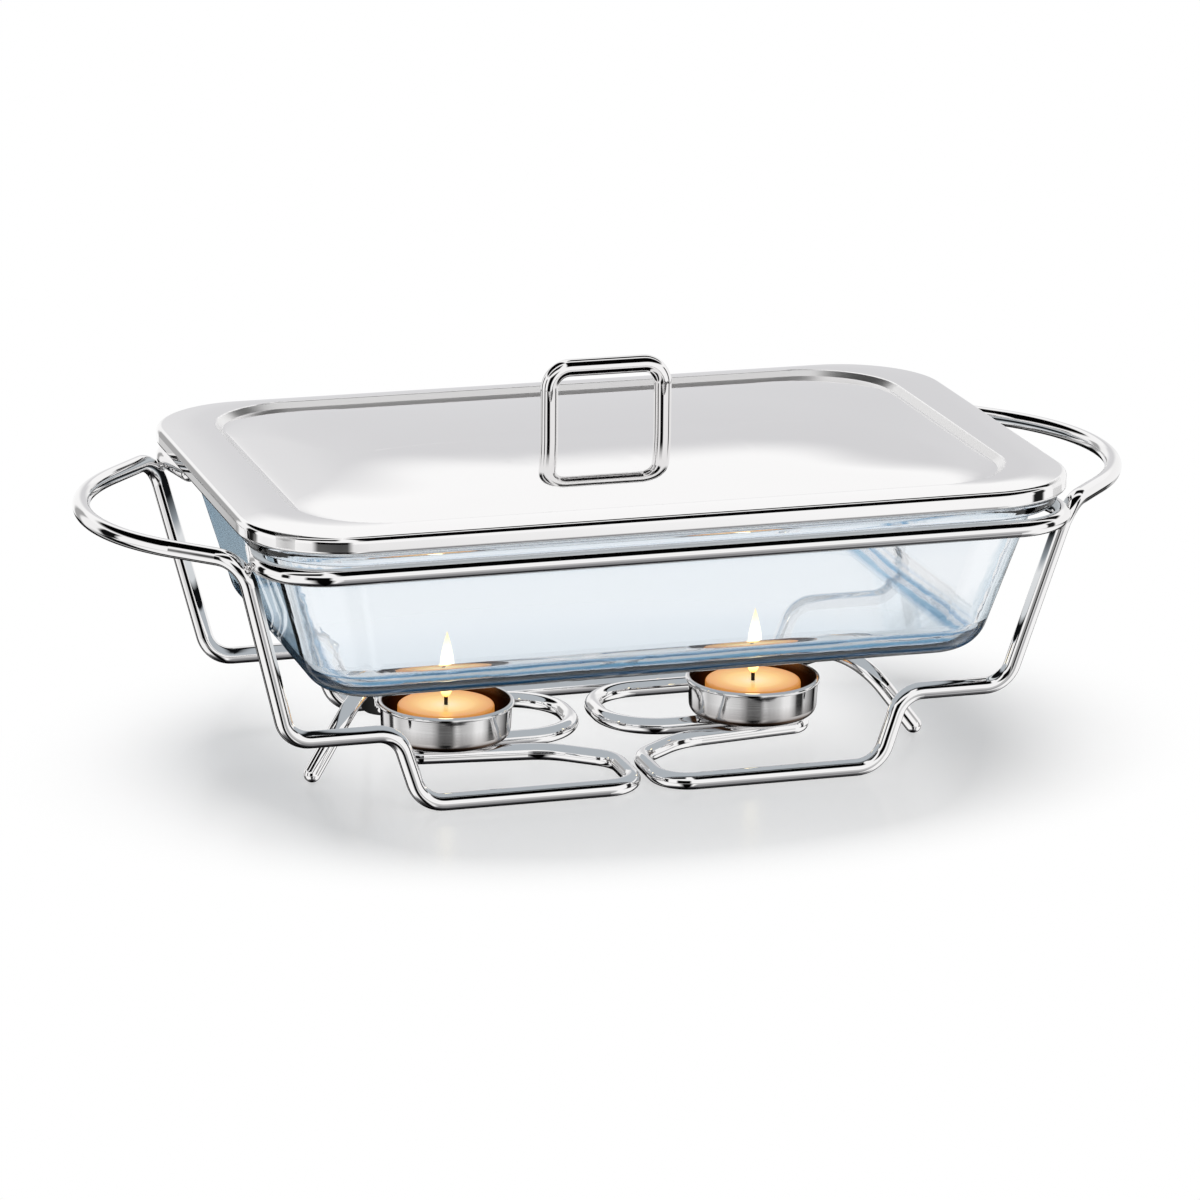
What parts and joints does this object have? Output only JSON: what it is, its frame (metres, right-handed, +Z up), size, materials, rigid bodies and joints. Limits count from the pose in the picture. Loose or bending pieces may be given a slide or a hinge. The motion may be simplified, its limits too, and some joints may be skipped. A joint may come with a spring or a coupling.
{
  "type": "glass food warmer",
  "caption": "Rectangular glass dish with a lift-off pressed metal lid, hung by its rim in a bent chrome wire rack with loop handles, over cups for warming candles.",
  "frame": {"origin": "on the table under the centre of the rack", "axes": "+X along the long side of the dish, +Y from the front run of the stand to the rear run, +Z up"},
  "size_m": [0.4138, 0.2152, 0.1547],
  "materials": {
    "chrome_wire": "polished chrome plate on bent wire",
    "chrome_rod": "polished chrome plate on bent rod",
    "polished_lid": "mirror-polished pressed steel",
    "cup_steel": "polished drawn steel",
    "fastener_steel": "plain steel",
    "tinned_steel": "tinned, dull",
    "clear_glass": "clear, blue at the edges",
    "candle_wax": "smooth wax",
    "wick_cotton": "charred cotton"
  },
  "bodies": {
    "rack": {"front_rail": "chrome_wire", "rear_rail": "chrome_wire", "left_handle_loop": "chrome_wire", "right_handle_loop": "chrome_wire", "left_front_stand_wire": "chrome_wire", "right_front_stand_wire": "chrome_wire", "rear_stand_wire": "chrome_wire", "left_candle_cup": "cup_steel", "right_candle_cup": "cup_steel"},
    "dish": {"glass_dish": "clear_glass"},
    "lid_assembly": {"lid": "polished_lid", "lid_handle": "chrome_rod", "lid_handle_screws": "fastener_steel", "lid_handle_washers": "fastener_steel"},
    "left_candle": {"left_candle_wax": "candle_wax", "left_candle_wick": "wick_cotton", "left_wick_holder": "tinned_steel"},
    "right_candle": {"right_candle_wax": "candle_wax", "right_candle_wick": "wick_cotton", "right_wick_holder": "tinned_steel"}
  },
  "joints": [
    {"name": "dish_lift", "type": "slide", "parent": "rack", "child": "dish", "axis": [0, 0, 1], "range_m": [0, 0.09]},
    {"name": "lid_lift", "type": "slide", "parent": "dish", "child": "lid_assembly", "axis": [0, 0, 1], "range_m": [0, 0.08]},
    {"name": "left_candle_lift", "type": "slide", "parent": "rack", "child": "left_candle", "axis": [0, 0, 1], "range_m": [0, 0.018]},
    {"name": "right_candle_lift", "type": "slide", "parent": "rack", "child": "right_candle", "axis": [0, 0, 1], "range_m": [0, 0.018]}
  ]
}
